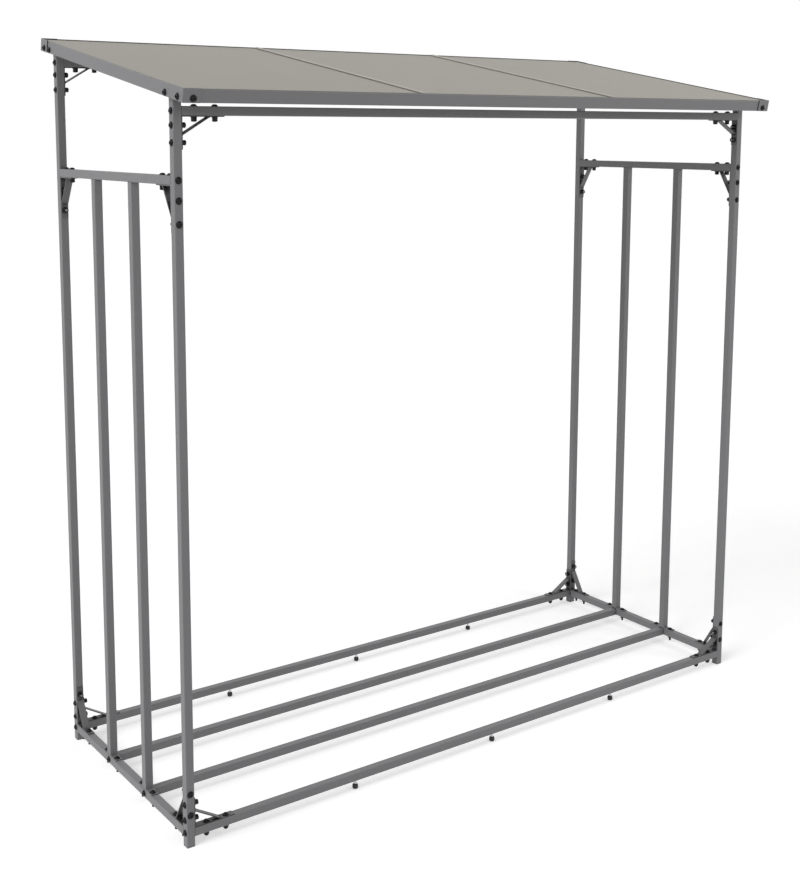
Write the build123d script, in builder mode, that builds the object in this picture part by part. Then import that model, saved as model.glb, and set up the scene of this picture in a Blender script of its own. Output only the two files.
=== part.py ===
"""Log store: a free-standing open rack of square steel tube under a sloping sheet roof.

The frame is +X to the right, +Y to the back and +Z up. The origin is on the floor, under
the middle of the roof. The long front is open, at -Y, and the roof falls towards it.
Every length is in millimetres and every angle in degrees.
"""
import os
from math import atan2, cos, degrees, radians, sin, tan

from build123d import *

# Roof, outside
roof_width = 1650.0
roof_depth = 700.0
front_height = 1520.0
back_height = 1650.0
roof_sheet = 0.8
panel_count = 3
seam_fold_radius = 2.0
seam_lip_height = 15.0
seam_lip_setback = 2.0

# Roof frame: flat rectangular tube on edge
roof_rail_height = 24.0
roof_rail_thickness = 12.0
roof_rail_wall = 1.0

# Plates round the roof's corners
corner_plate_leg = 38.0
corner_plate_thickness = 2.0
corner_plate_rise = 2.5
corner_plate_bend = 1.9
corner_plate_hole_from_corner = 22.0
corner_plate_hole_drop = 16.5

# Square tube of the posts, beams, rails and bars
tube_size = 18.0
tube_wall = 1.0
tube_corner = 1.5

# Where the posts stand under the roof
front_overhang = 70.0
back_overhang = 37.0
post_top_gap = 1.0

# Heights of tube centre lines: the lower rails from the floor, the top beams from the
# underside of the roof frame, and the mid rails from the front top beam
lower_rail_height = 30.0
front_beam_drop = 27.0
back_beam_drop = 20.0
mid_rail_drop = 131.0

# Side bars, and the strip welded under each bar's foot
side_bar_count = 2
bar_foot_length = 70.0
bar_foot_width = 17.0
bar_foot_thickness = 2.0
bar_foot_hole_spacing = 52.0

# Corner brackets of bent strip with a welded diagonal
bracket_width = 16.0
bracket_thickness = 2.0
bracket_long_leg = 92.0
bracket_short_leg = 64.0
bracket_long_holes = (30.0, 75.0)
bracket_short_holes = (18.0, 51.0)
brace_on_long_leg = 60.0
brace_on_short_leg = 36.0
bolt_hole_radius = 3.2
# The brackets repeat their holes 64 times, so those are drawn with few sides
bracket_hole_sides = 10

# Plastic caps under the posts
cap_base = 3.0
cap_plug_depth = 12.0
cap_plug_clearance = 0.1

# Levelling feet under the long lower rails
foot_count = 3
foot_spacing = 395.0
foot_pad_radius = 6.5
foot_pad_height = 14.0
foot_stud_radius = 3.0
foot_stud_clearance = 0.1
foot_stud_in_rail = 10.0

# Values that follow from the ones above
half_tube = tube_size / 2
roof_build = roof_rail_height + roof_sheet
roof_slope = degrees(atan2(back_height - front_height, roof_depth))
roof_length = (roof_depth - roof_build * sin(radians(roof_slope))) / cos(radians(roof_slope))
roof_front_y = -roof_depth / 2
half_width = roof_width / 2
roof_plane = Plane(
    origin=(0, roof_front_y, front_height),
    x_dir=(1, 0, 0),
    z_dir=(0, -sin(radians(roof_slope)), cos(radians(roof_slope))),
)

post_x = half_width - roof_rail_thickness - half_tube
front_post_y = roof_front_y + front_overhang + half_tube
back_post_y = roof_depth / 2 - back_overhang - half_tube
inner_x = post_x - half_tube
front_inner_y = front_post_y + half_tube
back_inner_y = back_post_y - half_tube
side_span = back_inner_y - front_inner_y
bar_pitch = side_span / (side_bar_count + 1)
bar_ys = [front_inner_y + bar_pitch * (number + 1) for number in range(side_bar_count)]

foot_xs = [foot_spacing * (number - (foot_count - 1) / 2) for number in range(foot_count)]


def below_roof(y, depth):
    """Height, at a place y, of the plane that lies this deep under the roof's top."""
    slope = radians(roof_slope)
    return front_height + (y - roof_front_y) * tan(slope) - depth / cos(slope)


front_beam_height = below_roof(front_post_y, roof_build) - front_beam_drop
back_beam_height = below_roof(back_post_y, roof_build) - back_beam_drop
mid_rail_height = front_beam_height - mid_rail_drop
lower_rail_top = lower_rail_height + half_tube
mid_rail_bottom = mid_rail_height - half_tube

sides = {"left": -1, "right": 1}
rows = {
    "front": (front_post_y, 1, front_beam_height),
    "back": (back_post_y, -1, back_beam_height),
}


def square_tube(plane, length):
    """Square tube with rounded corners, from the plane along its normal."""
    with BuildPart() as piece:
        with BuildSketch(plane):
            RectangleRounded(tube_size, tube_size, tube_corner)
            Rectangle(tube_size - 2 * tube_wall, tube_size - 2 * tube_wall, mode=Mode.SUBTRACT)
        extrude(amount=length)
    return piece.part


def upright(x, y, bottom, top):
    """Square tube standing between two heights."""
    return square_tube(Plane((x, y, bottom), x_dir=(1, 0, 0), z_dir=(0, 0, 1)), top - bottom)


def cross_tube(y, z):
    """Square tube along X between the left and right posts."""
    return square_tube(Plane((-inner_x, y, z), x_dir=(0, 1, 0), z_dir=(1, 0, 0)), 2 * inner_x)


def side_tube(x, z):
    """Square tube along Y between a front post and the back post behind it."""
    return square_tube(Plane((x, front_inner_y, z), x_dir=(1, 0, 0), z_dir=(0, 1, 0)), side_span)


def bracket(corner, long_way, short_way):
    """Bent strip in a corner of the frame, with its diagonal and its four bolt holes.

    The corner is where the two faces that carry the legs meet, on the strip's centre line.
    """
    profile_plane = Plane(corner, x_dir=long_way, z_dir=Vector(*long_way).cross(Vector(*short_way)))
    inside = bracket_thickness
    brace_slope = atan2(brace_on_short_leg - inside, brace_on_long_leg - inside)
    brace_rise = bracket_thickness / 2 / cos(brace_slope)
    brace_run = bracket_thickness / 2 / sin(brace_slope)
    with BuildPart() as piece:
        with BuildSketch(profile_plane):
            with BuildLine():
                Polyline(
                    (0, 0),
                    (bracket_long_leg, 0),
                    (bracket_long_leg, inside),
                    (inside, inside),
                    (inside, bracket_short_leg),
                    (0, bracket_short_leg),
                    close=True,
                )
            make_face()
            with BuildLine():
                Polyline(
                    (inside, brace_on_short_leg - brace_rise),
                    (inside, brace_on_short_leg + brace_rise),
                    (brace_on_long_leg + brace_run, inside),
                    (brace_on_long_leg - brace_run, inside),
                    close=True,
                )
            make_face()
        extrude(amount=bracket_width / 2, both=True)
        with BuildSketch(Plane(corner, x_dir=long_way, z_dir=short_way)):
            with Locations(*[(distance, 0) for distance in bracket_long_holes]):
                RegularPolygon(bolt_hole_radius, bracket_hole_sides)
        extrude(amount=bracket_thickness, mode=Mode.SUBTRACT)
        with BuildSketch(Plane(corner, x_dir=short_way, z_dir=long_way)):
            with Locations(*[(distance, 0) for distance in bracket_short_holes]):
                RegularPolygon(bolt_hole_radius, bracket_hole_sides)
        extrude(amount=bracket_thickness, mode=Mode.SUBTRACT)
    return piece.part


def write(part, name):
    """Labels one finished piece and writes it as a STEP file of that name."""
    part.label = name
    export_step(part, f"parts/{name}.step")


os.makedirs("parts", exist_ok=True)

# Posts, their plastic caps, and the brackets bolted round each post
for row, (post_y, inward_y, beam_height) in rows.items():
    outer_face_y = post_y - half_tube
    post_top = below_roof(outer_face_y, roof_sheet) - post_top_gap
    for side, way in sides.items():
        x = way * post_x
        write(upright(x, post_y, cap_base, post_top), f"post_{row}_{side}")

        with BuildPart() as cap:
            with BuildSketch(Plane.XY):
                with Locations((x, post_y)):
                    RectangleRounded(tube_size, tube_size, tube_corner)
            extrude(amount=cap_base)
            with BuildSketch(Plane.XY.offset(cap_base)):
                with Locations((x, post_y)):
                    plug = tube_size - 2 * tube_wall - 2 * cap_plug_clearance
                    Rectangle(plug, plug)
            extrude(amount=cap_plug_depth)
        write(cap.part, f"post_cap_{row}_{side}")

        across = (-way, 0, 0)
        along_side = (0, inward_y, 0)
        up = (0, 0, 1)
        down = (0, 0, -1)
        post_inner_x = way * inner_x
        post_inner_y = post_y + inward_y * half_tube
        beam_bottom = beam_height - half_tube
        four = [
            bracket((post_inner_x, post_y, beam_bottom), across, down),
            bracket((post_inner_x, post_y, lower_rail_top), across, up),
            bracket((x, post_inner_y, mid_rail_bottom), down, along_side),
            bracket((x, post_inner_y, lower_rail_top), up, along_side),
        ]
        with BuildPart() as brackets:
            add(four)
        write(brackets.part, f"brackets_{row}_{side}")

# Long beams and rails, with the holes for the levelling feet in the lower ones
for row, (post_y, inward_y, beam_height) in rows.items():
    write(cross_tube(post_y, beam_height), f"{row}_top_beam")

    blank = cross_tube(post_y, lower_rail_height)
    with BuildPart() as rail:
        add(blank)
        with BuildSketch(Plane.XY.offset(lower_rail_height - half_tube)):
            with Locations(*[(foot_x, post_y) for foot_x in foot_xs]):
                Circle(foot_stud_radius + foot_stud_clearance)
        extrude(amount=tube_wall, mode=Mode.SUBTRACT)
    write(rail.part, f"{row}_lower_rail")

for number, bar_y in enumerate(bar_ys, start=1):
    write(cross_tube(bar_y, lower_rail_height), f"floor_beam_{number}")

# The two sides: a mid rail, a lower rail and the bars between them
for side, way in sides.items():
    x = way * post_x
    write(side_tube(x, mid_rail_height), f"{side}_mid_rail")
    write(side_tube(x, lower_rail_height), f"{side}_lower_rail")
    for number, bar_y in enumerate(bar_ys, start=1):
        foot_top = lower_rail_top + bar_foot_thickness
        stem = upright(x, bar_y, foot_top, mid_rail_bottom)
        with BuildPart() as bar:
            with BuildSketch(Plane.XY.offset(lower_rail_top)):
                with Locations((x, bar_y)):
                    Rectangle(bar_foot_width, bar_foot_length)
                    with Locations((0, -bar_foot_hole_spacing / 2), (0, bar_foot_hole_spacing / 2)):
                        Circle(bolt_hole_radius, mode=Mode.SUBTRACT)
            extrude(amount=bar_foot_thickness)
            add(stem)
        write(bar.part, f"{side}_bar_{number}")

# Levelling feet: a steel stud in the rail's lower wall, standing on a plastic pad
foot_places = [(foot_x, row[0]) for row in rows.values() for foot_x in foot_xs]
stud_top = lower_rail_height - half_tube + foot_stud_in_rail

with BuildPart() as foot_studs:
    with BuildSketch(Plane.XY.offset(foot_pad_height)):
        with Locations(*foot_places):
            Circle(foot_stud_radius)
    extrude(amount=stud_top - foot_pad_height)
write(foot_studs.part, "foot_studs")

with BuildPart() as foot_pads:
    with BuildSketch(Plane.XY):
        with Locations(*foot_places):
            Circle(foot_pad_radius)
    extrude(amount=foot_pad_height)
write(foot_pads.part, "foot_pads")

# Roof frame: two sloping side rails, with the front and back rails between them
rail_middle = -roof_sheet - roof_rail_height / 2
between_sides = roof_width - 2 * roof_rail_thickness


def flat_tube(plane, length):
    """Rectangular tube, from the plane along its normal, its tall side along the plane's Y."""
    with BuildPart() as piece:
        with BuildSketch(plane):
            Rectangle(roof_rail_thickness, roof_rail_height)
            offset(amount=-roof_rail_wall, mode=Mode.SUBTRACT)
        extrude(amount=length)
    return piece.part


def on_roof(x, along, above, x_dir, z_dir):
    """Plane at a place on the roof: across, up the slope from the front, and off its top."""
    origin = roof_plane.from_local_coords(Vector(x, along, above))
    local_x = roof_plane.from_local_coords(Vector(*x_dir)) - roof_plane.origin
    local_z = roof_plane.from_local_coords(Vector(*z_dir)) - roof_plane.origin
    return Plane(origin, x_dir=local_x, z_dir=local_z)


for side, way in sides.items():
    centre_x = way * (half_width - roof_rail_thickness / 2)
    start = on_roof(centre_x, 0, rail_middle, (-1, 0, 0), (0, 1, 0))
    write(flat_tube(start, roof_length), f"roof_{side}_rail")

for row, along in {"front": 0, "back": roof_length}.items():
    inward = 1 if row == "front" else -1
    middle = along + inward * roof_rail_thickness / 2
    start = on_roof(-between_sides / 2, middle, rail_middle, (0, 1, 0), (1, 0, 0))
    write(flat_tube(start, between_sides), f"roof_{row}_rail")

# Roof panels: flat sheets, folded down along each seam into a lip between the rails
panel_width = roof_width / panel_count
lip_start = roof_rail_thickness + seam_lip_setback
lip_length = roof_length - 2 * lip_start
lip_bottom = -roof_sheet - seam_lip_height
for number in range(panel_count):
    left_edge = -half_width + number * panel_width
    right_edge = left_edge + panel_width
    seams = []
    if number > 0:
        seams.append((left_edge, -1))
    if number < panel_count - 1:
        seams.append((right_edge, 1))
    with BuildPart() as panel:
        with BuildSketch(roof_plane):
            with Locations(((left_edge + right_edge) / 2, roof_length / 2)):
                Rectangle(panel_width, roof_length)
            for seam_x, way in seams:
                with Locations((seam_x - way * seam_fold_radius / 2, roof_length / 2)):
                    Rectangle(seam_fold_radius, lip_length, mode=Mode.SUBTRACT)
        extrude(amount=-roof_sheet)
        for seam_x, way in seams:
            start = lip_start if way > 0 else roof_length - lip_start
            with BuildSketch(on_roof(seam_x, start, 0, (-way, 0, 0), (0, way, 0))):
                with BuildLine():
                    centre = (seam_fold_radius, -seam_fold_radius)
                    CenterArc(centre, seam_fold_radius, 90, 90)
                    CenterArc(centre, seam_fold_radius - roof_sheet, 90, 90)
                    Line((seam_fold_radius, 0), (seam_fold_radius, -roof_sheet))
                    Polyline(
                        (0, -seam_fold_radius),
                        (0, lip_bottom),
                        (roof_sheet, lip_bottom),
                        (roof_sheet, -seam_fold_radius),
                    )
                make_face()
            extrude(amount=lip_length)
    write(panel.part, f"roof_panel_{number + 1}")

# Corner plates: bent strip outside the roof frame, with a bolt hole in each leg
hole_above = -corner_plate_hole_drop
for row, along in {"front": 0, "back": roof_length}.items():
    inward = 1 if row == "front" else -1
    for side, way in sides.items():
        corner_x = way * half_width
        outside_x = corner_x + way * corner_plate_thickness
        outside_y = along - inward * corner_plate_thickness
        end_x = outside_x - way * corner_plate_leg
        end_y = outside_y + inward * corner_plate_leg
        hole_x = outside_x - way * corner_plate_hole_from_corner
        hole_y = outside_y + inward * corner_plate_hole_from_corner
        with BuildPart() as plate:
            with BuildSketch(roof_plane.offset(-roof_build)) as outline:
                with BuildLine():
                    Polyline(
                        (outside_x, outside_y),
                        (end_x, outside_y),
                        (end_x, along),
                        (corner_x, along),
                        (corner_x, end_y),
                        (outside_x, end_y),
                        close=True,
                    )
                make_face()
                outer_corner = outline.vertices().sort_by_distance((outside_x, outside_y))[0]
                fillet(outer_corner, corner_plate_bend)
            extrude(amount=roof_build + corner_plate_rise)
            with BuildSketch(on_roof(hole_x, outside_y, hole_above, (1, 0, 0), (0, inward, 0))):
                Circle(bolt_hole_radius)
            extrude(amount=corner_plate_thickness, mode=Mode.SUBTRACT)
            with BuildSketch(on_roof(outside_x, hole_y, hole_above, (0, 1, 0), (-way, 0, 0))):
                Circle(bolt_hole_radius)
            extrude(amount=corner_plate_thickness, mode=Mode.SUBTRACT)
        write(plate.part, f"roof_corner_plate_{row}_{side}")
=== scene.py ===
"""Dresses the log store: its paint, roof sheet, screws, nuts, welds, feet and studio.

Every length is in metres, in the frame of the parts: +X to the right, +Y to the back,
+Z up, and the floor at height 0. The open front faces -Y.
"""
import math
import bpy
from bpy.props import FloatProperty, FloatVectorProperty, PointerProperty
from mathutils import Matrix, Vector


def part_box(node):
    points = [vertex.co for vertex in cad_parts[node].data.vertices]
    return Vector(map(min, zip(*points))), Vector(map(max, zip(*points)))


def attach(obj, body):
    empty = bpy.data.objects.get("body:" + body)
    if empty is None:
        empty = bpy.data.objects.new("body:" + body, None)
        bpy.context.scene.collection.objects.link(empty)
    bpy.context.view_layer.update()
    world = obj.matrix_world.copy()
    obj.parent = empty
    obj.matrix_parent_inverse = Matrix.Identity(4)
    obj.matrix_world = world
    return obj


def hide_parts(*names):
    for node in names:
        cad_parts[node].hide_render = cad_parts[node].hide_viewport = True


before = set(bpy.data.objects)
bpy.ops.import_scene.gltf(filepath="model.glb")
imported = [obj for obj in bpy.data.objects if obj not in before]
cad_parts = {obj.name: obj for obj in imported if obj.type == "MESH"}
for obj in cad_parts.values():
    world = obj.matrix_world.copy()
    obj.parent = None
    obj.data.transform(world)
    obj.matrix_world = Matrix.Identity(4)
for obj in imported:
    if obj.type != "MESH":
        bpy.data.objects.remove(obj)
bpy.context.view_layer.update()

bl_info = {
    "name": "Log store",
    "version": (1, 0, 0),
    "blender": (4, 5, 0),
    "location": "View3D > Sidebar > Log store",
    "description": "Paints a steel log store, adds its fasteners and sets it in a studio",
    "category": "Object",
}

MM = 0.001
SIDES = {"left": -1, "right": 1}
ROWS = {"front": -1, "back": 1}
SMOOTH_ANGLE = math.radians(38)

# Sockets of the colour form of the Mix node, which share their names with other forms
MIX_FACTOR = 0
MIX_A = 6
MIX_B = 7
MIX_COLOUR = 2


def linear(hex_colour):
    """Linear red, green, blue and alpha of an sRGB colour written as #rrggbb."""
    channels = []
    for start in (1, 3, 5):
        value = int(hex_colour[start:start + 2], 16) / 255
        if value <= 0.04045:
            channels.append(value / 12.92)
        else:
            channels.append(((value + 0.055) / 1.055) ** 2.4)
    return (*channels, 1.0)


def millimetres(name, description, default, least):
    """Property for a length, or for a pair of them, with its default and least size in mm."""
    settings = {"name": name, "description": description, "min": least * MM, "unit": "LENGTH"}
    if isinstance(default, tuple):
        pair = tuple(size * MM for size in default)
        return FloatVectorProperty(default=pair, size=len(pair), **settings)
    return FloatProperty(default=default * MM, **settings)


def surface_colour(name, description, hex_colour):
    """Property for a colour, with its default written as #rrggbb."""
    return FloatVectorProperty(
        name=name, description=description, default=linear(hex_colour),
        size=4, subtype="COLOR", min=0, max=1,
    )


class FastenerSizes(bpy.types.PropertyGroup):
    """Sizes of the M6 screws and nuts."""

    head_width: millimetres("Head width", "Across the flange under the screw's head", 14.0, 8)
    head_height: millimetres("Head height", "From the seat to the top of the head", 4.0, 2)
    flange_thickness: millimetres("Flange thickness", "Thickness of the flange at its rim", 1.2, 0.5)
    socket_width: millimetres("Socket width", "Hexagon socket, across its flats", 4.0, 2)
    socket_depth: millimetres("Socket depth", "Depth of the hexagon socket", 2.2, 1)
    thread_width: millimetres("Thread width", "Outer diameter of the thread", 6.0, 3)
    thread_pitch: millimetres("Thread pitch", "Height of one turn of the thread", 1.0, 0.5)
    nut_width: millimetres("Nut width", "Flange nut, across the flats of its hexagon", 10.0, 5)
    nut_flange: millimetres("Nut flange", "Across the flange under a nut", 12.8, 6)
    nut_height: millimetres("Nut height", "Lock nut with a flange, from its seat to its top", 9.2, 5)
    plain_nut_height: millimetres("Plain nut height", "Nut under a low side rail", 5.0, 2)
    cap_nut_width: millimetres(
        "Cap nut width", "Domed nut under a long low rail, across its flats", 12.0, 5
    )
    cap_nut_height: millimetres("Cap nut height", "Domed nut under a long low rail", 11.5, 3)
    thread_past_nut: millimetres("Thread past the nut", "Thread that stands out of a lock nut", 0.4, 0)
    thread_under_rail: millimetres(
        "Thread under a rail", "Thread past a plain nut under a side rail", 7.6, 0
    )


class JointSizes(bpy.types.PropertyGroup):
    """Where the screws sit on the brackets, bars and roof plates."""

    tube: millimetres("Tube", "Square tube, across its flats", 18, 8)
    strip: millimetres("Strip", "Thickness of the brackets, bar feet and roof plates", 2, 1)
    short_holes: millimetres(
        "Short leg", "From a bracket's corner to the screws of its short leg", (18, 51), 8
    )
    long_holes: millimetres(
        "Long leg", "From a bracket's corner to the screws of its long leg", (30, 75), 8
    )
    brace_ends: millimetres(
        "Brace ends", "From a bracket's corner to its diagonal, long leg first", (60, 36), 10
    )
    bracket_width: millimetres("Bracket width", "Width of the strip of a bracket", 16, 5)
    bar_foot_hole: millimetres("Bar foot", "From a bar's middle to the screws of its foot", 26, 10)
    plate_hole: millimetres("Roof plate", "From a roof plate's outer corner to its screws", 22, 8)
    plate_drop: millimetres("Roof plate drop", "From the roof's top down to the plates' screws", 16.5, 5)
    post_screw_drop: millimetres(
        "Post screw drop", "From the roof's top down to the posts' top screws", 18, 5
    )
    roof_rail: millimetres("Roof rail", "Thickness and height of the tube round the roof", (12, 24), 4)
    roof_rim: millimetres("Roof rim", "Width and height of the rim round the roof sheet", (1.0, 1.8), 0.3)
    hem: millimetres("Hem", "Radius of the rolled hem that laps over each seam of the roof", 2.6, 0.5)
    roof_sheet: millimetres("Roof sheet", "Thickness of the roof sheet", 0.8, 0.3)
    roof_front: FloatVectorProperty(
        name="Front edge", description="Place of the roof's upper front edge",
        default=(0.825, -0.350, 1.520), size=3, subtype="TRANSLATION", unit="LENGTH",
    )
    roof_back: FloatVectorProperty(
        name="Back edge", description="Place of the roof's upper back edge",
        default=(0.825, 0.350, 1.650), size=3, subtype="TRANSLATION", unit="LENGTH",
    )
    bead: millimetres("Weld bead", "Radius of the weld beads", 1.5, 0.5)


class FootSizes(bpy.types.PropertyGroup):
    """Sizes of the levelling feet."""

    spacing: millimetres("Spacing", "From one foot to the next along a low rail", 395, 50)
    pad_width: millimetres("Pad width", "Plastic pad, across", 13.0, 6)
    pad_height: millimetres("Pad height", "Plastic pad, from the floor to its top", 11.6, 4)
    lock_nut_width: millimetres("Lock nut width", "Thin nut under the rail, across its flats", 9.0, 5)
    lock_nut_height: millimetres("Lock nut height", "Height of the thin nut under the rail", 2.4, 1.5)


class FinishColours(bpy.types.PropertyGroup):
    """Colours of the finishes, before light and wear, but for the hems' lighter colour, which is a
    painted highlight.
    """

    frame_paint: surface_colour("Frame paint", "Powder coat on the tubes, brackets and plates", "#79797b")
    roof_paint: surface_colour("Roof sheet", "Coat on the roof panels", "#908c82")
    # Lighter than the sheet: a painted highlight along the hems' tops
    hem_highlight_paint: surface_colour("Roof hems", "Rubbed coat on the rolled hems over the seams", "#aeaba4")
    screw_black: surface_colour("Screws and nuts", "Glossy black coat on the screws and nuts", "#151517")
    thread_grey: surface_colour("Thread ends", "Bare steel of the cut ends of the threads", "#8c8c8c")
    cap_grey: surface_colour("Post caps", "Grey polyethylene under the posts", "#6c6c6e")
    pad_black: surface_colour("Foot pads", "Black polyethylene of the levelling feet", "#101012")
    zinc: surface_colour("Zinc plate", "Bright plate on the levelling studs", "#e2e4e6")


class StudioSettings(bpy.types.PropertyGroup):
    """The floor, the lamps and the camera."""

    floor_width: FloatProperty(
        name="Floor width", description="Side of the square white floor",
        default=40.0, min=4, unit="LENGTH",
    )
    key_strength: FloatProperty(
        name="Key lamp", description="Strength of the wide even lamp at the left",
        default=1.76, min=0,
    )
    key_spread: FloatProperty(
        name="Key spread", description="How wide the key lamp looks, which softens shadows",
        default=math.radians(35), subtype="ANGLE", unit="ROTATION",
    )
    fill_power: FloatProperty(
        name="Fill lamp", description="Power of the soft lamp at the front right, in watts",
        default=24.0, min=0,
    )
    ambient: FloatProperty(
        name="Ambient", description="Strength of the white surroundings",
        default=0.34, min=0,
    )
    floor_lift: FloatProperty(
        name="Floor lift", description="White added to the floor where the camera sees it",
        default=0.45, min=0, max=1,
    )
    eye: FloatVectorProperty(
        name="Camera place", description="Where the camera stands",
        default=(-1.9114, -2.5013, 1.4423), size=3, subtype="TRANSLATION", unit="LENGTH",
    )
    heading: FloatProperty(
        name="Camera heading", description="Turn from straight back towards the right",
        default=math.radians(34.7484), subtype="ANGLE", unit="ROTATION",
    )
    tilt: FloatProperty(
        name="Camera tilt", description="How far the camera looks down",
        default=math.radians(7.7), subtype="ANGLE", unit="ROTATION",
    )
    lens: FloatProperty(
        name="Focal length", description="Focal length on a 36 mm wide sensor, in millimetres",
        default=53.2535, min=10,
    )
    shift_x: FloatProperty(
        name="Shift across", description="Shift of the frame, in its long sides",
        default=0.03826,
    )
    shift_y: FloatProperty(
        name="Shift up", description="Shift of the frame, in its long sides",
        default=-0.1486,
    )


def add_node(tree, kind, inputs=None, **settings):
    """Adds a node, sets its own settings, and gives its inputs their values or links."""
    node = tree.nodes.new(kind)
    for name, value in settings.items():
        setattr(node, name, value)
    for name, value in (inputs or {}).items():
        if isinstance(value, bpy.types.NodeSocket):
            tree.links.new(value, node.inputs[name])
        else:
            node.inputs[name].default_value = value
    return node


def empty_material(name):
    """New material with no nodes, and its node tree."""
    material = bpy.data.materials.new(name)
    material.use_nodes = True
    tree = material.node_tree
    tree.nodes.clear()
    return material, tree


def shade(colour, factor):
    """The colour made lighter or darker by a factor."""
    return (*(min(1.0, channel * factor) for channel in colour[:3]), 1.0)


def rounded_edges(tree, radius):
    """How sharply the surface turns within a radius, and its normal rounded by that radius.

    The first is 0 on a flat and 1 on an edge.
    """
    still_flat = 0.995
    sharp = 0.80
    round_normal = add_node(tree, "ShaderNodeBevel", {"Radius": radius}, samples=6)
    flat_normal = add_node(tree, "ShaderNodeNewGeometry")
    likeness = add_node(
        tree, "ShaderNodeVectorMath",
        {0: round_normal.outputs["Normal"], 1: flat_normal.outputs["Normal"]},
        operation="DOT_PRODUCT",
    )
    edge = add_node(
        tree, "ShaderNodeMapRange",
        {"Value": likeness.outputs["Value"], "From Min": still_flat, "From Max": sharp},
    )
    return edge.outputs["Result"], round_normal.outputs["Normal"]


def powder_coat(name, colour, grain_mm, cloud_mm, roughness, edge_wear_and_light, crevice_shade):
    """Satin powder coat on mild steel, sprayed dry and baked.

    To the eye it is an even soft grey with a very fine orange peel and a faint cloudiness from
    the spray. Its edges are lighter, partly as worn coat and partly as painted highlight, or
    darker as painted shade, and seams, joints and inner corners get painted shade. The crevice
    shade is how far away a wall makes a joint, in millimetres, and the openness at which the
    painted shade starts and is full.
    """
    clouding = 0.05
    fleck_shade = 1.5
    fleck_share = 0.16
    painted_shade_factor = 0.08
    gloss_change = 0.06
    reach_mm, start, full = crevice_shade
    material, tree = empty_material(name)
    place = add_node(tree, "ShaderNodeTexCoord").outputs["Object"]
    cloud = add_node(
        tree, "ShaderNodeTexNoise",
        {"Vector": place, "Scale": 1 / (cloud_mm * MM), "Detail": 3.0, "Roughness": 0.55},
    )
    flecks = add_node(
        tree, "ShaderNodeTexNoise",
        {"Vector": place, "Scale": 1 / (grain_mm * MM), "Detail": 2.0, "Roughness": 0.7},
    ).outputs["Fac"]
    flecked = add_node(
        tree, "ShaderNodeMapRange",
        {"Value": flecks, "From Min": 0.35, "From Max": 0.75, "To Max": fleck_share},
    )
    # Edges painted lighter or darker by a factor: partly worn coat, partly painted highlight and painted
    # shade
    edge, round_normal = rounded_edges(tree, 1.2 * MM)
    edge_wear_and_light_share = add_node(tree, "ShaderNodeMath", {0: edge, 1: flecks}, operation="MULTIPLY")
    # Painted shade: the coat darkens where the ambient occlusion finds walls near, in seams, joints and
    # corners
    openness = add_node(
        tree, "ShaderNodeAmbientOcclusion", {"Distance": reach_mm * MM}, samples=6
    )
    painted_shade_share = add_node(
        tree, "ShaderNodeMapRange",
        {"Value": openness.outputs["AO"], "From Min": start, "From Max": full},
    )
    coat = shade(colour, 1 - clouding)
    for share, factor in (
        (cloud.outputs["Fac"], 1 + clouding),
        (flecked.outputs["Result"], fleck_shade),
        (edge_wear_and_light_share.outputs["Value"], edge_wear_and_light),
        (painted_shade_share.outputs["Result"], painted_shade_factor),
    ):
        layer = add_node(
            tree, "ShaderNodeMix",
            {MIX_FACTOR: share, MIX_A: coat, MIX_B: shade(colour, factor)}, data_type="RGBA",
        )
        coat = layer.outputs[MIX_COLOUR]
    gloss = add_node(
        tree, "ShaderNodeMapRange",
        {"Value": flecks, "To Min": roughness - gloss_change, "To Max": roughness + gloss_change},
    )
    peel = add_node(
        tree, "ShaderNodeBump",
        {"Strength": 0.25, "Distance": 0.05 * MM, "Height": flecks, "Normal": round_normal},
    )
    shader = add_node(
        tree, "ShaderNodeBsdfPrincipled",
        {
            "Base Color": coat,
            "Roughness": gloss.outputs["Result"],
            "IOR": 1.5,
            "Normal": peel.outputs["Normal"],
        },
    )
    add_node(tree, "ShaderNodeOutputMaterial", {"Surface": shader.outputs["BSDF"]})
    return material


def clouded_colour(tree, colour, spread, size_mm):
    """The colour, drifting lighter and darker over patches of a size, and the patches."""
    place = add_node(tree, "ShaderNodeTexCoord").outputs["Object"]
    patches = add_node(
        tree, "ShaderNodeTexNoise",
        {"Vector": place, "Scale": 1 / (size_mm * MM), "Detail": 3.0, "Roughness": 0.6},
    )
    mixed = add_node(
        tree, "ShaderNodeMix",
        {
            MIX_FACTOR: patches.outputs["Fac"],
            MIX_A: shade(colour, 1 - spread),
            MIX_B: shade(colour, 1 + spread),
        },
        data_type="RGBA",
    )
    return mixed.outputs[MIX_COLOUR], patches.outputs["Fac"]


def plated_steel(name, colour, spread, rubbed, roughness, coat):
    """Plated steel: a metal whose raised edges are rubbed lighter by tools and handling.

    Bright zinc gives the eye a cool silver with soft changes of gloss. The black screws are
    nearly black, with a narrow glint from their lacquer on the dome and a greyer rim.
    """
    patch_mm = 2.5
    gloss_change = 0.08
    material, tree = empty_material(name)
    drifting, patches = clouded_colour(tree, colour, spread, patch_mm)
    edge, round_normal = rounded_edges(tree, 0.35 * MM)
    rub = add_node(
        tree, "ShaderNodeMath", {0: edge, 1: patches}, operation="MULTIPLY", use_clamp=True
    )
    worn = add_node(
        tree, "ShaderNodeMix",
        {MIX_FACTOR: rub.outputs["Value"], MIX_A: drifting, MIX_B: shade(colour, rubbed)},
        data_type="RGBA",
    )
    gloss = add_node(
        tree, "ShaderNodeMapRange",
        {"Value": patches, "To Min": roughness - gloss_change, "To Max": roughness + gloss_change},
    )
    shader = add_node(
        tree, "ShaderNodeBsdfPrincipled",
        {
            "Base Color": worn.outputs[MIX_COLOUR],
            "Metallic": 1.0,
            "Roughness": gloss.outputs["Result"],
            "Normal": round_normal,
            "Coat Weight": coat,
            "Coat Roughness": 0.08,
        },
    )
    add_node(tree, "ShaderNodeOutputMaterial", {"Surface": shader.outputs["BSDF"]})
    return material


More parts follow.
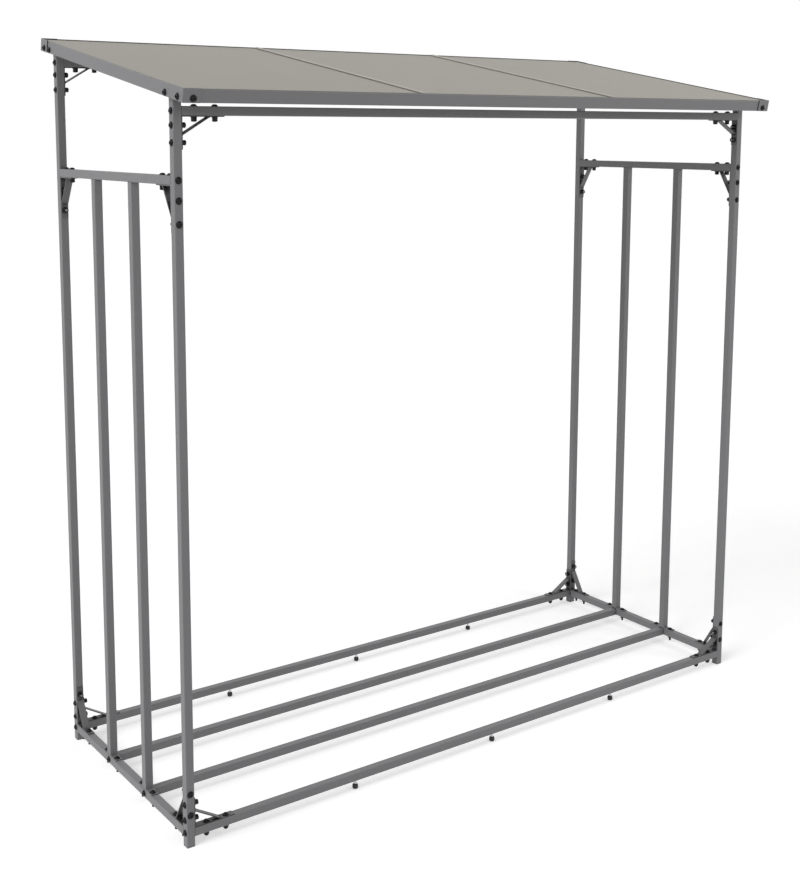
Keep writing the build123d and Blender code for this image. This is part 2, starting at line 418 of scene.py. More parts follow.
def moulded_plastic(name, colour, roughness):
    """Injection moulded polyethylene, matt and slightly waxy.

    To the eye a soft even colour with a fine spark-eroded grain and faint scuffs.
    """
    scuff_mm = 6.0
    scuffing = 0.08
    grain_mm = 0.5
    gloss_change = 0.1
    material, tree = empty_material(name)
    drifting, scuffs = clouded_colour(tree, colour, scuffing, scuff_mm)
    place = add_node(tree, "ShaderNodeTexCoord").outputs["Object"]
    grain = add_node(
        tree, "ShaderNodeTexNoise",
        {"Vector": place, "Scale": 1 / (grain_mm * MM), "Detail": 2.0, "Roughness": 0.6},
    ).outputs["Fac"]
    gloss = add_node(
        tree, "ShaderNodeMapRange",
        {"Value": scuffs, "To Min": roughness - gloss_change, "To Max": roughness + gloss_change},
    )
    _, round_normal = rounded_edges(tree, 0.6 * MM)
    skin = add_node(
        tree, "ShaderNodeBump",
        {"Strength": 0.3, "Distance": 0.04 * MM, "Height": grain, "Normal": round_normal},
    )
    shader = add_node(
        tree, "ShaderNodeBsdfPrincipled",
        {
            "Base Color": drifting,
            "Roughness": gloss.outputs["Result"],
            "IOR": 1.51,
            "Normal": skin.outputs["Normal"],
        },
    )
    add_node(tree, "ShaderNodeOutputMaterial", {"Surface": shader.outputs["BSDF"]})
    return material


def dress(names, material):
    """Gives the named pieces of the frame a material."""
    for name in names:
        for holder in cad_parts[name].material_slots:
            holder.material = material


def middle(low, high):
    """Point halfway between two corners."""
    return (low + high) / 2


def facing(box, axis, sign):
    """The outer coordinate of a box along an axis, on its lower or upper side."""
    return box[1][axis] if sign > 0 else box[0][axis]


def paint_shade_on_cut_edges(material):
    """Paints shade on the cut edges of the brackets and roof plates: a nearly black copy of the coat.

    They are the long front and back edges of the brackets that lie along the beams, beside the
    posts, and the ends and inner faces of the roof plates, where shadow gaps fall.
    """
    straight = 0.9
    for name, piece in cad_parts.items():
        bracket = name.startswith("brackets")
        if not bracket and not name.startswith("roof_corner_plate"):
            continue
        _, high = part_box(name)
        way = 1 if high.x > 0 else -1
        back = 1 if high.y > 0 else -1
        post_x = facing(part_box(name.replace("brackets", "post")), 0, -way) if bracket else 0
        piece.data.materials.append(material)
        last = len(piece.data.materials) - 1
        for face in piece.data.polygons:
            if bracket:
                beside_post = (face.center.x - post_x) * -way > 0
                cut = abs(face.normal.y) > straight and beside_post
            else:
                cut = face.normal.x * -way > straight or face.normal.y * -back > straight
            if cut:
                face.material_index = last


def ring_faces(steps, rows):
    """Faces between rings of points that follow each other, with as many rows of faces."""
    faces = []
    for low in range(0, rows * steps, steps):
        for step in range(steps):
            after = (step + 1) % steps
            faces.append((low + step, low + after, low + steps + after, low + steps + step))
    return faces


def turned(rings, steps=36):
    """Points and faces of a form turned about +Z, from its lowest ring to its last.

    A ring is its height, its radius and, where a hexagon cuts it, half that hexagon's width
    across its flats.
    """
    points = []
    for height, radius, *flats in rings:
        for step in range(steps):
            angle = 2 * math.pi * step / steps
            from_flat = (angle + math.pi / 6) % (math.pi / 3) - math.pi / 6
            reach = min([radius] + [flat / math.cos(from_flat) for flat in flats])
            points.append(Vector((reach * math.cos(angle), reach * math.sin(angle), height)))
    last = (len(rings) - 1) * steps
    ends = [tuple(reversed(range(steps))), tuple(range(last, last + steps))]
    return points, ring_faces(steps, len(rings) - 1) + ends


def threaded_rod(sizes, bottom, top):
    """Points and faces of a screw thread between two heights, chamfered at its top."""
    steps = 20
    rows_a_turn = 6
    chamfer = 0.8 * MM
    crest = sizes.thread_width / 2
    depth = 0.61 * sizes.thread_pitch
    rows = max(2, math.ceil((top - bottom) / sizes.thread_pitch * rows_a_turn))
    points = []
    for row in range(rows + 1):
        height = bottom + (top - bottom) * row / rows
        for step in range(steps):
            angle = 2 * math.pi * step / steps
            along = (height / sizes.thread_pitch - step / steps) % 1
            thread = crest - depth * (1 - abs(2 * along - 1))
            reach = min(thread, crest - chamfer + top - height)
            points.append(Vector((reach * math.cos(angle), reach * math.sin(angle), height)))
    end = tuple(range(rows * steps, (rows + 1) * steps))
    return points, ring_faces(steps, rows) + [end]


def gather(placed):
    """Points and faces of many forms, each with its place, as one form."""
    points = []
    faces = []
    for (form_points, form_faces), place in placed:
        start = len(points)
        points.extend(place @ point for point in form_points)
        faces.extend([start + index for index in face] for face in form_faces)
    return points, faces


def standing_on(seat, out, turn=0.0):
    """Place of a form whose foot is on a face and whose +Z points out of that face."""
    aim = Vector(out).to_track_quat("Z", "Y").to_matrix().to_4x4()
    return Matrix.Translation(seat) @ aim @ Matrix.Rotation(turn, 4, "Z")


def add_object(name, data):
    """New object in the scene that holds a mesh, a lamp or a camera."""
    holder = bpy.data.objects.new(name, data)
    bpy.context.scene.collection.objects.link(holder)
    return holder


def add_piece(name, form, material):
    """A piece of the log store, smooth but for its sharp edges, that rides with the frame."""
    points, faces = form
    mesh = bpy.data.meshes.new(name)
    mesh.from_pydata(points, [], faces)
    mesh.shade_smooth()
    mesh.set_sharp_from_angle(angle=SMOOTH_ANGLE)
    mesh.materials.append(material)
    piece = add_object(name, mesh)
    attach(piece, "root")
    return piece


def corner_of(flat):
    """From a hexagon's middle to its corner, where its flats are this far from the middle."""
    return flat / math.cos(math.pi / 6)


def screw_head(sizes):
    """Flanged dome head with a hexagon socket, its seat at height 0."""
    dome_parts = 6
    rim = sizes.head_width / 2
    flange = sizes.flange_thickness
    top = sizes.head_height
    socket = sizes.socket_width / 2
    corner = corner_of(socket)
    dome_foot = flange + 0.15 * MM
    dome_radius = rim - 1.4 * MM
    land = corner + 0.6 * MM
    rings = [
        (0, rim - 0.3 * MM),
        (0.3 * MM, rim),
        (flange - 0.2 * MM, rim),
        (flange, rim - 0.3 * MM),
        (dome_foot, rim - 1.1 * MM),
    ]
    last_angle = math.acos(land / dome_radius)
    for part in range(dome_parts + 1):
        angle = last_angle * part / dome_parts
        rise = math.sin(angle) / math.sin(last_angle)
        rings.append((dome_foot + (top - dome_foot) * rise, dome_radius * math.cos(angle)))
    rings += [
        (top, corner + 0.25 * MM),
        (top - 0.25 * MM, corner, socket),
        (top - sizes.socket_depth, corner, socket),
        (top - sizes.socket_depth - 0.7 * MM, 0.3 * MM),
    ]
    return turned(rings)


def nut_flange(rim):
    """Rings of the flange under a nut, its seat at height 0."""
    return [
        (0, rim - 0.3 * MM),
        (0.3 * MM, rim),
        (1.1 * MM, rim),
        (1.4 * MM, rim - 0.2 * MM),
    ]


def lock_nut(sizes):
    """Long hexagon nut with a flange and a rounded end that grips the thread."""
    flat = sizes.nut_width / 2
    corner = corner_of(flat)
    top = sizes.nut_height
    hole = sizes.thread_width / 2
    return turned(nut_flange(sizes.nut_flange / 2) + [
        (1.8 * MM, corner, flat),
        (top - 0.9 * MM, corner, flat),
        (top - 0.3 * MM, flat),
        (top, flat - 0.5 * MM),
        (top, hole + 0.6 * MM),
        (top - 0.4 * MM, hole - 0.1 * MM),
    ])


def plain_nut(sizes):
    """Hexagon nut with both ends chamfered."""
    flat = sizes.nut_width / 2
    corner = corner_of(flat)
    top = sizes.plain_nut_height
    hole = sizes.thread_width / 2
    return turned([
        (0, flat - 0.2 * MM),
        (0.5 * MM, corner, flat),
        (top - 0.5 * MM, corner, flat),
        (top, flat - 0.2 * MM),
        (top, hole + 0.5 * MM),
        (top - 0.4 * MM, hole - 0.1 * MM),
    ])


def cap_nut(sizes):
    """Hexagon nut with a flange, closed by a dome."""
    dome_parts = 8
    flat = sizes.cap_nut_width / 2
    corner = corner_of(flat)
    shoulder = sizes.cap_nut_height - flat
    rings = nut_flange(corner + 0.2 * MM) + [
        (2.0 * MM, corner, flat),
        (shoulder - 0.6 * MM, corner, flat),
        (shoulder, flat - 0.1 * MM),
    ]
    for part in range(1, dome_parts):
        angle = math.pi / 2 * part / dome_parts
        reach = (flat - 0.2 * MM) * math.cos(angle)
        rings.append((shoulder + flat * math.sin(angle), reach))
    return turned(rings)


def fit_fasteners(name, fastenings):
    """Adds the screws, and the nuts of those that have one.

    A fastening is the middle of the screw's seat, the way its head points, the thickness
    that it clamps, and its kind of nut: "lock", "plain", "cap" or None. Each head and nut is
    turned on from the one before, as hands leave them.
    """
    head_turn = 2.4
    nut_turn = 1.7
    in_nut = 0.6 * MM
    sizes = bpy.context.scene.log_store_fasteners
    head = screw_head(sizes)
    heads = []
    nuts = []
    threads = []
    for number, (seat, out, clamped, kind) in enumerate(fastenings):
        heads.append((head, standing_on(seat, out, number * head_turn)))
        if kind is None:
            continue
        away = -Vector(out)
        place = standing_on(Vector(seat) + away * clamped, away, number * nut_turn)
        if kind == "cap":
            nuts.append((cap_nut(sizes), place))
        elif kind == "plain":
            top = sizes.plain_nut_height
            rod = threaded_rod(sizes, top - in_nut, top + sizes.thread_under_rail)
            nuts += [(plain_nut(sizes), place), (rod, place)]
        else:
            top = sizes.nut_height
            rod = threaded_rod(sizes, top - in_nut, top + sizes.thread_past_nut)
            nuts.append((lock_nut(sizes), place))
            threads.append((rod, place))
    black = bpy.data.materials["black_lacquered_steel"]
    add_piece(f"{name}_screws", gather(heads), black)
    if nuts:
        add_piece(f"{name}_nuts", gather(nuts), black)
    if threads:
        bare = bpy.data.materials["bare_cut_steel"]
        add_piece(f"{name}_thread_ends", gather(threads), bare)


class Corner:
    """A post: its sides' signs, its faces, and the boxes of the tubes that meet it."""

    def __init__(self, side, row):
        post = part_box(f"post_{row}_{side}")
        self.way = SIDES[side]
        self.back = ROWS[row]
        self.x, self.y, _ = middle(*post)
        self.outer_x = facing(post, 0, self.way)
        self.outer_y = facing(post, 1, self.back)
        self.inner_x = facing(post, 0, -self.way)
        self.inner_y = facing(post, 1, -self.back)
        self.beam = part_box(f"{row}_top_beam")
        self.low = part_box(f"{row}_lower_rail")
        self.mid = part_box(f"{side}_mid_rail")


def corners():
    """The four corners of the frame."""
    return [Corner(side, row) for side in SIDES for row in ROWS]


class LOGSTORE_OT_screw_posts(bpy.types.Operator):
    """Screws the beams, side rails and bracket legs to the four posts."""

    bl_idname = "logstore.screw_posts"
    bl_label = "Screw the posts"

    def execute(self, context):
        joint = context.scene.log_store_joints
        clamped = joint.tube + joint.strip
        fastenings = []
        for corner in corners():
            low_top = corner.low[1].z
            out = (corner.way, 0, 0)
            for tube in (corner.beam, corner.low):
                seat = (corner.outer_x, corner.y, middle(*tube).z)
                fastenings.append((seat, out, 0, None))
            for hole in joint.short_holes:
                for height in (corner.beam[0].z - hole, low_top + hole):
                    seat = (corner.outer_x, corner.y, height)
                    fastenings.append((seat, out, clamped, "lock"))
            out = (0, corner.back, 0)
            seat = (corner.x, corner.outer_y, middle(*corner.mid).z)
            fastenings.append((seat, out, 0, None))
            for hole in joint.long_holes:
                for height in (corner.mid[0].z - hole, low_top + hole):
                    seat = (corner.x, corner.outer_y, height)
                    fastenings.append((seat, out, clamped, "lock"))
        fit_fasteners("post", fastenings)
        return {"FINISHED"}


class LOGSTORE_OT_screw_rails(bpy.types.Operator):
    """Screws the bracket legs to the beams and rails, from above."""

    bl_idname = "logstore.screw_rails"
    bl_label = "Screw the rails"

    def execute(self, context):
        joint = context.scene.log_store_joints
        clamped = joint.tube + joint.strip
        up = (0, 0, 1)
        fastenings = []
        for corner in corners():
            leg_top = corner.low[1].z + joint.strip
            for hole in joint.long_holes:
                x = corner.inner_x - corner.way * hole
                fastenings.append(((x, corner.y, corner.beam[1].z), up, clamped, "lock"))
                fastenings.append(((x, corner.y, leg_top), up, clamped, "cap"))
            for hole in joint.short_holes:
                y = corner.inner_y - corner.back * hole
                fastenings.append(((corner.x, y, corner.mid[1].z), up, clamped, "lock"))
                fastenings.append(((corner.x, y, leg_top), up, clamped, "plain"))
        fit_fasteners("rail", fastenings)
        return {"FINISHED"}


class LOGSTORE_OT_screw_floor(bpy.types.Operator):
    """Screws the bars' feet to the low side rails, and the floor beams' ends through them."""

    bl_idname = "logstore.screw_floor"
    bl_label = "Screw the floor"

    def execute(self, context):
        joint = context.scene.log_store_joints
        clamped = joint.tube + joint.strip
        fastenings = []
        for side, way in SIDES.items():
            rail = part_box(f"{side}_lower_rail")
            x, _, height = middle(*rail)
            for number in (1, 2):
                y = middle(*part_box(f"floor_beam_{number}")).y
                fastenings.append(((facing(rail, 0, way), y, height), (way, 0, 0), 0, None))
                for step in (-joint.bar_foot_hole, joint.bar_foot_hole):
                    seat = (x, y + step, rail[1].z + joint.strip)
                    fastenings.append((seat, (0, 0, 1), clamped, "plain"))
        fit_fasteners("floor", fastenings)
        return {"FINISHED"}


def roof_place(joint):
    """Place of the roof's top, from the middle of its front edge, its slope and its length."""
    front = Vector(joint.roof_front)
    rise = Vector(joint.roof_back) - front
    slope = math.atan2(rise.z, rise.y)
    build = joint.roof_sheet + joint.roof_rail[1]
    length = (rise.y - build * math.sin(slope)) / math.cos(slope)
    origin = Matrix.Translation((0, front.y, front.z))
    return origin @ Matrix.Rotation(slope, 4, "X"), slope, length


class LOGSTORE_OT_rim_roof(bpy.types.Operator):
    """Adds the thin rim that stands round the roof sheet."""

    bl_idname = "logstore.rim_roof"
    bl_label = "Rim the roof"

    def execute(self, context):
        joint = context.scene.log_store_joints
        on_roof, _, length = roof_place(joint)
        width, height = joint.roof_rim
        clearance = 0.05 * MM
        loops = []
        for inset in (clearance, width):
            half = joint.roof_front[0] - inset
            far = length - inset
            loops.append([(-half, inset), (half, inset), (half, far), (-half, far)])
        outer, inner = loops
        points = []
        for loop, level in ((outer, 0), (outer, height), (inner, height), (inner, 0)):
            points += [on_roof @ Vector((x, y, level)) for x, y in loop]
        form = (points, ring_faces(4, 3))
        paint = bpy.data.materials["powder_coated_steel_grey"]
        rim = add_piece("roof_rim", form, paint)
        # Painted shade: the rim's inner faces get the nearly black cut-edge material
        rim.data.materials.append(bpy.data.materials["cut_edge_painted_shade"])
        inner_faces = rim.data.polygons[-4:]
        for face in inner_faces:
            face.material_index = 1
        return {"FINISHED"}


class LOGSTORE_OT_hem_roof(bpy.types.Operator):
    """Rolls the hem of each roof panel that laps over the seam at its left."""

    bl_idname = "logstore.hem_roof"
    bl_label = "Hem the roof"

    def execute(self, context):
        joint = context.scene.log_store_joints
        on_roof, _, length = roof_place(joint)
        low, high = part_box("roof_panel_2")
        radius = joint.hem
        height = 0.7 * radius
        lap = 0.5 * radius
        margin = joint.roof_rim[0]
        run = length - 2 * margin
        # How far from an end the hem has which share of its radius
        taper = ((0, 0.3), (2 * MM, 0.6), (5 * MM, 0.85), (10 * MM, 1.0))
        rings = [(along, radius * share) for along, share in taper]
        rings += [(run - along, radius * share) for along, share in reversed(taper)]
        hem = turned(rings, steps=16)
        hems = []
        for seam in (low.x, high.x):
            place = standing_on((seam + lap, margin, height), (0, 1, 0))
            hems.append((hem, on_roof @ place))
        # The hems' coat is a painted highlight, with painted shade at their foot
        coat = bpy.data.materials["hem_coat_painted_highlight"]
        add_piece("roof_hems", gather(hems), coat)
        return {"FINISHED"}


class LOGSTORE_OT_screw_roof(bpy.types.Operator):
    """Screws the roof's corner plates, and the roof's side rails to the posts."""

    bl_idname = "logstore.screw_roof"
    bl_label = "Screw the roof"

    def execute(self, context):
        joint = context.scene.log_store_joints
        on_roof, slope, length = roof_place(joint)
        half_width, front_y, front_z = joint.roof_front
        fastenings = []
        for way in SIDES.values():
            for back in ROWS.values():
                edge = length if back > 0 else 0
                outer_x = way * (half_width + joint.strip)
                outer_y = edge + back * joint.strip
                side_seat = (outer_x, outer_y - back * joint.plate_hole, -joint.plate_drop)
                end_seat = (outer_x - way * joint.plate_hole, outer_y, -joint.plate_drop)
                end_out = on_roof.to_3x3() @ Vector((0, back, 0))
                fastenings.append((on_roof @ Vector(side_seat), (way, 0, 0), 0, None))
                fastenings.append((on_roof @ Vector(end_seat), end_out, 0, None))
        clamped = joint.roof_rail[0] + joint.tube
        drop = joint.post_screw_drop / math.cos(slope)
        for corner in corners():
            height = front_z + (corner.y - front_y) * math.tan(slope) - drop
            seat = (corner.way * half_width, corner.y, height)
            fastenings.append((seat, (corner.way, 0, 0), clamped, "lock"))
        fit_fasteners("roof", fastenings)
        return {"FINISHED"}


def weld_bead(start, end, radius):
    """Form and place of a weld bead along a line, with the ripples of its puddles."""
    ripple = 1.3 * MM
    ripple_depth = 0.13
    rows_a_ripple = 5
    fewest_rows = 6
    thinnest = 0.2
    start = Vector(start)
    end = Vector(end)
    length = (end - start).length
    rows = max(fewest_rows, math.ceil(length / ripple * rows_a_ripple))
    rings = []
    for row in range(rows + 1):
        along = row / rows
        from_end = min(along, 1 - along) * length
        rounded = max(thinnest, math.sqrt(1 - max(0, 1 - from_end / radius) ** 2))
        ripples = 1 + ripple_depth * math.cos(2 * math.pi * along * length / ripple)
        rings.append((along * length, radius * rounded * ripples))
    return turned(rings, steps=10), standing_on(start, end - start)


class LOGSTORE_OT_weld_brackets(bpy.types.Operator):
    """Lays the weld beads at both ends of every bracket's diagonal, under the paint."""

    bl_idname = "logstore.weld_brackets"
    bl_label = "Weld the brackets"

    def execute(self, context):
        joint = context.scene.log_store_joints
        long_end, short_end = joint.brace_ends
        up = Vector((0, 0, 1))
        brackets = []
        for corner in corners():
            across = Vector((-corner.way, 0, 0))
            inward = Vector((0, -corner.back, 0))
            low_top = corner.low[1].z
            brackets += [
                (Vector((corner.inner_x, corner.y, corner.beam[0].z)), across, -up),
                (Vector((corner.inner_x, corner.y, low_top)), across, up),
                (Vector((corner.x, corner.inner_y, corner.mid[0].z)), -up, inward),
                (Vector((corner.x, corner.inner_y, low_top)), up, inward),
            ]
        beads = []
        half_width = joint.bracket_width / 2 - joint.bead
        lift = joint.strip + 0.1 * MM
        beside_brace = 1.6 * MM
        for bend, long_way, short_way in brackets:
            sideways = long_way.cross(short_way) * half_width
            for along, way, out in (
                (long_end, long_way, short_way),
                (short_end, short_way, long_way),
            ):
                for step in (-beside_brace, beside_brace):
                    centre = bend + way * (along + step) + out * lift
                    beads.append(weld_bead(centre - sideways, centre + sideways, joint.bead))
        # The beads take the brackets' darker paint, which holds painted shade
        paint = bpy.data.materials["strip_grey_with_painted_shade"]
        add_piece("bracket_weld_beads", gather(beads), paint)
        return {"FINISHED"}


class LOGSTORE_OT_weld_bars(bpy.types.Operator):
    """Lays the weld beads round the head and the foot of every side bar."""

    bl_idname = "logstore.weld_bars"
    bl_label = "Weld the bars"

    def execute(self, context):
        joint = context.scene.log_store_joints
        half = joint.tube / 2
        rounding = 1.5 * MM
        short = half - rounding
        sunk = 0.3 * MM
        thinner = 0.7
        beads = []
        for side in SIDES:
            for number in (1, 2):
                low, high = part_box(f"{side}_bar_{number}")
                x, y, _ = middle(low, high)
                for height in (high.z - sunk, low.z + joint.strip + sunk):
                    for way in (-1, 1):
                        at_x = x + way * (half - sunk)
                        at_y = y + way * (half + sunk)
                        along_x = ((x - short, at_y, height), (x + short, at_y, height))
                        along_y = ((at_x, y - short, height), (at_x, y + short, height))
                        beads.append(weld_bead(*along_x, joint.bead))
                        beads.append(weld_bead(*along_y, joint.bead * thinner))
        paint = bpy.data.materials["powder_coated_steel_grey"]
        add_piece("bar_weld_beads", gather(beads), paint)
        return {"FINISHED"}


class LOGSTORE_OT_set_feet(bpy.types.Operator):
    """Sets the levelling feet: threaded studs with thin nuts, on moulded pads."""

    bl_idname = "logstore.set_feet"
    bl_label = "Set the feet"

    def execute(self, context):
        scene = context.scene
        foot = scene.log_store_feet
        colours = scene.log_store_colours
        sizes = scene.log_store_fasteners
        zinc = plated_steel(
            "bright_zinc_plated_steel", colours.zinc,
            spread=0.12, rubbed=1.2, roughness=0.3, coat=0,
        )
        plastic = moulded_plastic("black_polyethylene", colours.pad_black, roughness=0.45)
        stud_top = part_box("foot_studs")[1].z
        in_pad = 1 * MM
        stud = threaded_rod(sizes, foot.pad_height - in_pad, stud_top)
        nut = self.thin_nut(foot, sizes.thread_width / 2)
        pad = self.pad(foot)
        places = []
        for row in ROWS:
            y = middle(*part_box(f"{row}_lower_rail")).y
            for number in (-1, 0, 1):
                places.append(Matrix.Translation((number * foot.spacing, y, 0)))
        studs = [(form, place) for place in places for form in (stud, nut)]
        piece = add_piece("threaded_studs", gather(studs), zinc)
        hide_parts("foot_studs")
        pads = [(pad, place) for place in places]
        piece = add_piece("moulded_pads", gather(pads), plastic)
        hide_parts("foot_pads")
        return {"FINISHED"}

    def thin_nut(self, foot, hole):
        """Thin hexagon nut round the stud, with its top against the rail."""
        chamfer = 0.4 * MM
        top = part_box("front_lower_rail")[0].z
        bottom = top - foot.lock_nut_height
        flat = foot.lock_nut_width / 2
        corner = corner_of(flat)
        return turned([
            (bottom, hole - 0.1 * MM),
            (bottom, flat + 0.1 * MM, flat),
            (bottom + chamfer, corner, flat),
            (top - chamfer, corner, flat),
            (top, flat + 0.1 * MM, flat),
        ])

    def pad(self, foot):
        """Round pad with a rolled foot and a shoulder that narrows to the stud."""
        rim = foot.pad_width / 2
        top = foot.pad_height
        return turned([
            (0, rim - 2.6 * MM),
            (0.3 * MM, rim - 1.6 * MM),
            (0.9 * MM, rim - 0.8 * MM),
            (1.8 * MM, rim - 0.25 * MM),
            (3.0 * MM, rim),
            (0.60 * top, rim),
            (0.72 * top, rim - 0.2 * MM),
            (0.82 * top, rim - 0.6 * MM),
            (0.90 * top, rim - 1.2 * MM),
            (0.96 * top, rim - 2.0 * MM),
            (top, rim - 2.9 * MM),
            (top, 3.3 * MM),
            (top - 0.8 * MM, 2.9 * MM),
        ], steps=48)


class LOGSTORE_OT_colour_caps(bpy.types.Operator):
    """Gives the plastic caps under the posts their grey."""

    bl_idname = "logstore.colour_caps"
    bl_label = "Colour the caps"

    def execute(self, context):
        grey = context.scene.log_store_colours.cap_grey
        plastic = moulded_plastic("grey_polyethylene", grey, roughness=0.5)
        dress([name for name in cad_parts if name.startswith("post_cap")], plastic)
        return {"FINISHED"}


class LOGSTORE_OT_paint_frame(bpy.types.Operator):
    """Paints the tubes, brackets and corner plates, and mixes the screws' black."""

    bl_idname = "logstore.paint_frame"
    bl_label = "Paint the frame"

    def execute(self, context):
        colours = context.scene.log_store_colours
        grey = colours.frame_paint
        # Painted shade from ambient occlusion: thin dark lines in the tubes' joints, deep dark inside the
        # brackets' corners
        joints = (6, 0.8, 0.3)
        inner_corners = (22, 0.95, 0.55)
        tube = powder_coat(
            "powder_coated_steel_grey", grey, grain_mm=1.6, cloud_mm=220,
            roughness=0.45, edge_wear_and_light=1.7, crevice_shade=joints,
        )
        # The brackets' paint is a darker copy of the frame's paint: painted shade
        strip = powder_coat(
            "strip_grey_with_painted_shade", shade(grey, 0.7), grain_mm=1.6, cloud_mm=120,
            roughness=0.42, edge_wear_and_light=0.9, crevice_shade=inner_corners,
        )
        # Nearly black copy of the frame paint: painted shade in the shadow gaps at cut edges
        cut = powder_coat(
            "cut_edge_painted_shade", shade(grey, 0.12), grain_mm=1.6, cloud_mm=60,
            roughness=0.4, edge_wear_and_light=1.2, crevice_shade=joints,
        )
        names = [
            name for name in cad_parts
            if not name.startswith(("post_cap", "roof_panel", "foot_"))
        ]
        dress(names, tube)
        dress([name for name in names if name.startswith("brackets")], strip)
        paint_shade_on_cut_edges(cut)
        plated_steel(
            "black_lacquered_steel", colours.screw_black,
            spread=0.25, rubbed=6.0, roughness=0.34, coat=0.3,
        )
        plated_steel(
            "bare_cut_steel", colours.thread_grey,
            spread=0.15, rubbed=1.1, roughness=0.45, coat=0,
        )
        return {"FINISHED"}


class LOGSTORE_OT_coat_roof(bpy.types.Operator):
    """Coats the roof panels and mixes the coat of their hems."""

    bl_idname = "logstore.coat_roof"
    bl_label = "Coat the roof"

    def execute(self, context):
        colours = context.scene.log_store_colours
        # Painted shade in the seams' grooves and along the rim, and a painted highlight on the folds'
        # edges
        seams = (5, 0.6, 0.3)
        under_hem = (4, 0.7, 0.3)
        coat = powder_coat(
            "coated_steel_sheet_warm_grey", colours.roof_paint, grain_mm=2.0, cloud_mm=160,
            roughness=0.5, edge_wear_and_light=1.5, crevice_shade=seams,
        )
        dress([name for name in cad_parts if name.startswith("roof_panel")], coat)
        # The rolled hems are painted lighter, a painted highlight along their tops, over a painted shade
        # line at their foot
        powder_coat(
            "hem_coat_painted_highlight", colours.hem_highlight_paint, grain_mm=2.0, cloud_mm=160,
            roughness=0.4, edge_wear_and_light=1.2, crevice_shade=under_hem,
        )
        return {"FINISHED"}


def hang_lamp(name, kind, energy, place, target):
    """Lamp of a kind at a place, facing a target."""
    lamp = bpy.data.lights.new(name, kind)
    lamp.energy = energy
    holder = add_object(name, lamp)
    holder.location = place
    holder.rotation_euler = (Vector(target) - Vector(place)).to_track_quat("-Z", "Y").to_euler()
    return lamp


def seen_directly(tree):
    """1 for rays from the camera, a gloss or a clear surface, which see the bare white."""
    path = add_node(tree, "ShaderNodeLightPath")
    gloss_or_camera = add_node(
        tree, "ShaderNodeMath",
        {0: path.outputs["Is Camera Ray"], 1: path.outputs["Is Glossy Ray"]},
        operation="ADD", use_clamp=True,
    )
    seen = add_node(
        tree, "ShaderNodeMath",
        {0: gloss_or_camera.outputs["Value"], 1: path.outputs["Is Transmission Ray"]},
        operation="ADD", use_clamp=True,
    )
    return seen.outputs["Value"]


class LOGSTORE_OT_set_studio(bpy.types.Operator):
    """Lays the white floor, hangs the lamps and places the camera."""

    bl_idname = "logstore.set_studio"
    bl_label = "Set the studio"

    def execute(self, context):
        studio = context.scene.log_store_studio
        self.lay_floor(studio)
        self.light(studio, context.scene)
        self.place_camera(studio, context.scene)
        return {"FINISHED"}

    def lay_floor(self, studio):
        """White painted floor, which keeps the shadow and turns pure white away from it."""
        material, tree = empty_material("white_painted_floor")
        matt = add_node(tree, "ShaderNodeBsdfDiffuse", {"Color": linear("#f0f0f0")})
        lift = add_node(
            tree, "ShaderNodeMapRange",
            {"Value": seen_directly(tree), "To Min": 0.0, "To Max": studio.floor_lift},
        )
        glow = add_node(tree, "ShaderNodeEmission", {"Strength": lift.outputs["Result"]})
        both = add_node(
            tree, "ShaderNodeAddShader", {0: matt.outputs["BSDF"], 1: glow.outputs["Emission"]}
        )
        add_node(tree, "ShaderNodeOutputMaterial", {"Surface": both.outputs["Shader"]})
        half = studio.floor_width / 2
        mesh = bpy.data.meshes.new("floor")
        points = [(-half, -half, 0), (half, -half, 0), (half, half, 0), (-half, half, 0)]
        mesh.from_pydata(points, [], [(0, 1, 2, 3)])
        mesh.materials.append(material)
        floor = add_object("floor", mesh)

    def light(self, studio, scene):
        """White surroundings, a large soft lamp at the left and a small one at the right."""
        world = bpy.data.worlds.new("white_surroundings")
        world.use_nodes = True
        tree = world.node_tree
        tree.nodes.clear()
        strength = add_node(
            tree, "ShaderNodeMapRange",
            {"Value": seen_directly(tree), "To Min": studio.ambient, "To Max": 1.0},
        )
        sky = add_node(
            tree, "ShaderNodeBackground",
            {"Color": linear("#ffffff"), "Strength": strength.outputs["Result"]},
        )
        add_node(tree, "ShaderNodeOutputWorld", {"Surface": sky.outputs["Background"]})
        scene.world = world
        target = (0, 0, 0.8)
        high_left = (-3.9, -0.4, 3.9)
        front_right = (2.4, -3.0, 2.6)
        key = hang_lamp("key_lamp", "SUN", studio.key_strength, high_left, target)
        key.angle = studio.key_spread
        fill = hang_lamp("fill_lamp", "AREA", studio.fill_power, front_right, target)
        fill.size = 1.0

    def place_camera(self, studio, scene):
        """Camera at the front left, at about the height of a person's chest."""
        camera = bpy.data.cameras.new("camera")
        camera.lens = studio.lens
        camera.shift_x = studio.shift_x
        camera.shift_y = studio.shift_y
        holder = add_object("camera", camera)
        holder.location = studio.eye
        holder.rotation_euler = (math.pi / 2 - studio.tilt, 0, -studio.heading)
        scene.camera = holder
        scene.view_settings.view_transform = "Standard"


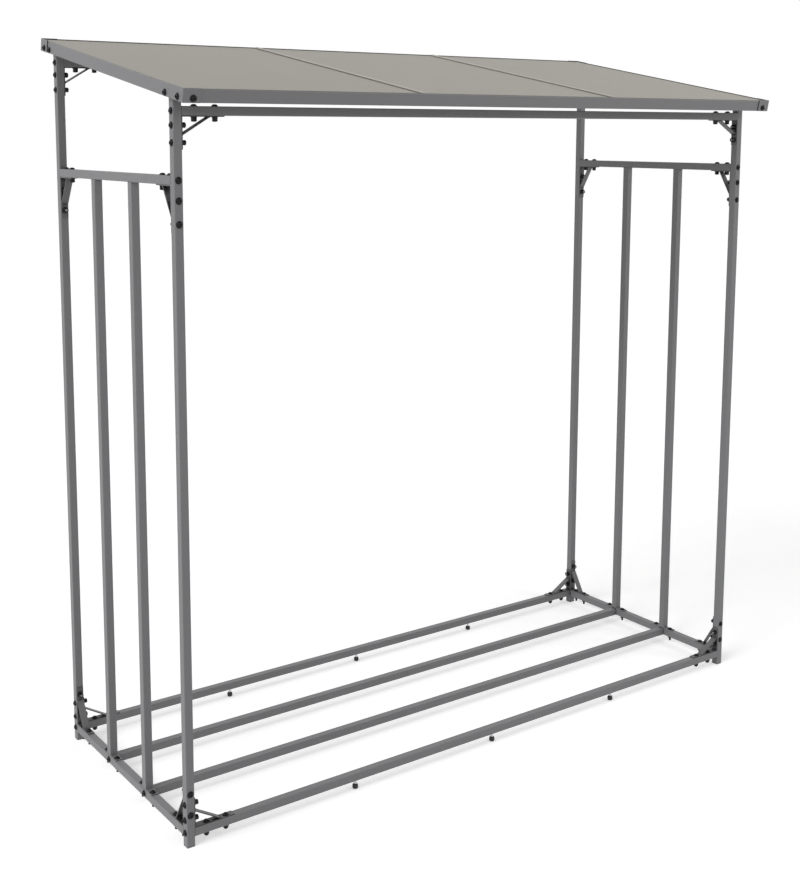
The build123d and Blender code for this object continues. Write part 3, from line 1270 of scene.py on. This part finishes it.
class LOGSTORE_PT_builder(bpy.types.Panel):
    """The log store's steps and settings."""

    bl_idname = "LOGSTORE_PT_builder"
    bl_label = "Log store"
    bl_space_type = "VIEW_3D"
    bl_region_type = "UI"
    bl_category = "Log store"

    def draw(self, context):
        for operator in OPERATORS:
            self.layout.operator(operator.bl_idname)
        for holder in SETTINGS:
            box = self.layout.box()
            group = getattr(context.scene, holder)
            for name in SETTINGS[holder].__annotations__:
                box.prop(group, name)


SETTINGS = {
    "log_store_fasteners": FastenerSizes,
    "log_store_joints": JointSizes,
    "log_store_feet": FootSizes,
    "log_store_colours": FinishColours,
    "log_store_studio": StudioSettings,
}
OPERATORS = [
    LOGSTORE_OT_paint_frame,
    LOGSTORE_OT_coat_roof,
    LOGSTORE_OT_colour_caps,
    LOGSTORE_OT_screw_posts,
    LOGSTORE_OT_screw_rails,
    LOGSTORE_OT_screw_floor,
    LOGSTORE_OT_screw_roof,
    LOGSTORE_OT_rim_roof,
    LOGSTORE_OT_hem_roof,
    LOGSTORE_OT_weld_brackets,
    LOGSTORE_OT_weld_bars,
    LOGSTORE_OT_set_feet,
    LOGSTORE_OT_set_studio,
]


def register():
    """Registers the classes and hangs the settings on the scene."""
    for group in SETTINGS.values():
        bpy.utils.register_class(group)
    for holder, group in SETTINGS.items():
        setattr(bpy.types.Scene, holder, PointerProperty(type=group))
    for operator in OPERATORS:
        bpy.utils.register_class(operator)
    bpy.utils.register_class(LOGSTORE_PT_builder)


def unregister():
    """Takes back what register did, in the opposite order."""
    bpy.utils.unregister_class(LOGSTORE_PT_builder)
    for operator in reversed(OPERATORS):
        bpy.utils.unregister_class(operator)
    for holder in reversed(SETTINGS):
        delattr(bpy.types.Scene, holder)
    for group in reversed(SETTINGS.values()):
        bpy.utils.unregister_class(group)


def main():
    """Builds the whole scene."""
    register()
    bpy.ops.logstore.paint_frame()
    bpy.ops.logstore.coat_roof()
    bpy.ops.logstore.colour_caps()
    bpy.ops.logstore.screw_posts()
    bpy.ops.logstore.screw_rails()
    bpy.ops.logstore.screw_floor()
    bpy.ops.logstore.screw_roof()
    bpy.ops.logstore.rim_roof()
    bpy.ops.logstore.hem_roof()
    bpy.ops.logstore.weld_brackets()
    bpy.ops.logstore.weld_bars()
    bpy.ops.logstore.set_feet()
    bpy.ops.logstore.set_studio()


if __name__ == "__main__":
    main()
